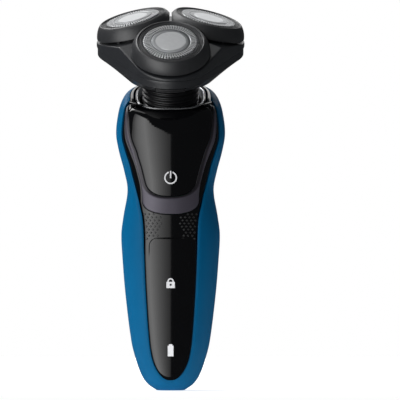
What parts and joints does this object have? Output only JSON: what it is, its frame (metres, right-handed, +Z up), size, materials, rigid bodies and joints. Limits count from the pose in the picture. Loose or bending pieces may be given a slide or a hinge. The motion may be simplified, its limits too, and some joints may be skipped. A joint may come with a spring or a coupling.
{
  "type": "electric shaver",
  "caption": "Cordless rotary electric shaver with a blue shell, black front panel and a head of floating round shaving units.",
  "frame": {"origin": "centre of the flat base face that the handle stands on", "axes": "+Z up the handle, -Y is the front with the power button, +X is to the right seen from the front"},
  "size_m": [0.0622, 0.0616, 0.1613],
  "materials": {
    "black_gloss": "glossy black moulded plastic",
    "black_satin": "satin black moulded plastic",
    "blue_shell": "satin blue moulded plastic",
    "board_green": "green solder-masked board",
    "cell_wrap": "shrink-wrapped cell",
    "chassis_grey": "grey structural plastic",
    "chrome_rim": "bright plated ring",
    "contact_gold": "gold-plated contact",
    "gear_white": "natural acetal plastic",
    "grey_bezel": "satin lilac-grey moulded plastic",
    "rubber_black": "black rubber",
    "steel_bright": "bright ground steel",
    "steel_plain": "plain zinc-plated steel",
    "white_lens": "white translucent lens"
  },
  "bodies": {
    "handle": {"rear_shell": "blue_shell", "front_panel": "black_gloss", "bezel_frame": "grey_bezel", "lock_icon_lens": "white_lens", "battery_icon_lens": "white_lens", "neck_rim": "chrome_rim", "coupling_socket": "black_satin", "shaft_seal": "rubber_black", "inner_chassis": "chassis_grey", "chassis_screws": "steel_plain", "battery_cell": "cell_wrap", "battery_tabs": "steel_plain", "circuit_board": "board_green", "tact_switch": "black_satin", "status_leds": "white_lens", "charge_controller": "black_satin", "inlet_housing": "black_satin", "inlet_pins": "contact_gold", "motor_can": "steel_plain", "motor_end_cap": "black_satin"},
    "button": {"power_button": "black_gloss", "power_icon_lens": "white_lens"},
    "rotor": {"motor_shaft": "steel_bright", "drive_coupler": "gear_white"},
    "head": {"head_base": "black_satin", "neck_sleeve": "rubber_black", "gear_plate": "chassis_grey", "gear_plate_screws": "steel_plain"},
    "pinion": {"central_pinion": "gear_white"},
    "cover": {"head_cover": "black_satin", "hinge_pin": "steel_bright"},
    "latch": {"release_button": "black_satin"},
    "gear_1": {"drive_gear_1": "gear_white", "drive_spindle_1": "steel_bright"},
    "unit_1": {"ring_1": "black_satin", "guard_1": "steel_bright", "retainer_1": "chassis_grey"},
    "blades_1": {"cutter_1": "steel_bright"},
    "gear_2": {"drive_gear_2": "gear_white", "drive_spindle_2": "steel_bright"},
    "unit_2": {"ring_2": "black_satin", "guard_2": "steel_bright", "retainer_2": "chassis_grey"},
    "blades_2": {"cutter_2": "steel_bright"},
    "gear_3": {"drive_gear_3": "gear_white", "drive_spindle_3": "steel_bright"},
    "unit_3": {"ring_3": "black_satin", "guard_3": "steel_bright", "retainer_3": "chassis_grey"},
    "blades_3": {"cutter_3": "steel_bright"}
  },
  "joints": [
    {"name": "power_press", "type": "hinge", "parent": "handle", "child": "button", "pos_m": [0, -0.015, 0.119], "axis": [1, 0, 0], "range_deg": [0, 1], "stiffness_Nm_per_rad": 2},
    {"name": "motor_spin", "type": "hinge", "parent": "handle", "child": "rotor", "pos_m": [0, 0.00314, 0.11863], "axis": [0, -0.3827, 0.9239], "continuous": true},
    {"name": "head_pull", "type": "slide", "parent": "handle", "child": "head", "axis": [0, -0.3827, 0.9239], "range_m": [0, 0.02]},
    {"name": "pinion_spin", "type": "hinge", "parent": "head", "child": "pinion", "pos_m": [0, -0.00566, 0.13988], "axis": [0, -0.3827, 0.9239], "continuous": true},
    {"name": "head_open", "type": "hinge", "parent": "head", "child": "cover", "pos_m": [0, 0.01816, 0.15083], "axis": [-1, 0, 0], "range_deg": [0, 100]},
    {"name": "release_press", "type": "slide", "parent": "head", "child": "latch", "axis": [0, 0.9239, 0.3827], "range_m": [0, 0.0012], "stiffness_N_per_m": 400},
    {"name": "gear_1_spin", "type": "hinge", "parent": "head", "child": "gear_1", "pos_m": [0, -0.02118, 0.13345], "axis": [0, -0.3827, 0.9239], "continuous": true},
    {"name": "unit_1_tilt", "type": "hinge", "parent": "cover", "child": "unit_1", "pos_m": [0, -0.02426, 0.14105], "axis": [1, 0, 0], "range_deg": [-3, 3], "stiffness_Nm_per_rad": 0.5},
    {"name": "cutter_1_spin", "type": "hinge", "parent": "unit_1", "child": "blades_1", "pos_m": [0, -0.02426, 0.14105], "axis": [0, -0.6225, 0.7826], "continuous": true},
    {"name": "gear_2_spin", "type": "hinge", "parent": "head", "child": "gear_2", "pos_m": [0.01455, 0.0021, 0.14309], "axis": [0, -0.3827, 0.9239], "continuous": true},
    {"name": "unit_2_tilt", "type": "hinge", "parent": "cover", "child": "unit_2", "pos_m": [0.01449, -0.00107, 0.15066], "axis": [-0.5, 0.8001, 0.3314], "range_deg": [-3, 3], "stiffness_Nm_per_rad": 0.5},
    {"name": "cutter_2_spin", "type": "hinge", "parent": "unit_2", "child": "blades_2", "pos_m": [0.01449, -0.00107, 0.15066], "axis": [0.2387, -0.2405, 0.9408], "continuous": true},
    {"name": "gear_3_spin", "type": "hinge", "parent": "head", "child": "gear_3", "pos_m": [-0.01455, 0.0021, 0.14309], "axis": [0, -0.3827, 0.9239], "continuous": true},
    {"name": "unit_3_tilt", "type": "hinge", "parent": "cover", "child": "unit_3", "pos_m": [-0.01449, -0.00107, 0.15066], "axis": [-0.5, -0.8001, -0.3314], "range_deg": [-3, 3], "stiffness_Nm_per_rad": 0.5},
    {"name": "cutter_3_spin", "type": "hinge", "parent": "unit_3", "child": "blades_3", "pos_m": [-0.01449, -0.00107, 0.15066], "axis": [-0.2387, -0.2405, 0.9408], "continuous": true}
  ],
  "couplings": [
    {"joint": "pinion_spin", "follows": "motor_spin", "ratio": 1},
    {"joint": "gear_1_spin", "follows": "motor_spin", "ratio": -0.33333},
    {"joint": "cutter_1_spin", "follows": "motor_spin", "ratio": -0.33333},
    {"joint": "gear_2_spin", "follows": "motor_spin", "ratio": -0.33333},
    {"joint": "cutter_2_spin", "follows": "motor_spin", "ratio": -0.33333},
    {"joint": "gear_3_spin", "follows": "motor_spin", "ratio": -0.33333},
    {"joint": "cutter_3_spin", "follows": "motor_spin", "ratio": -0.33333}
  ]
}
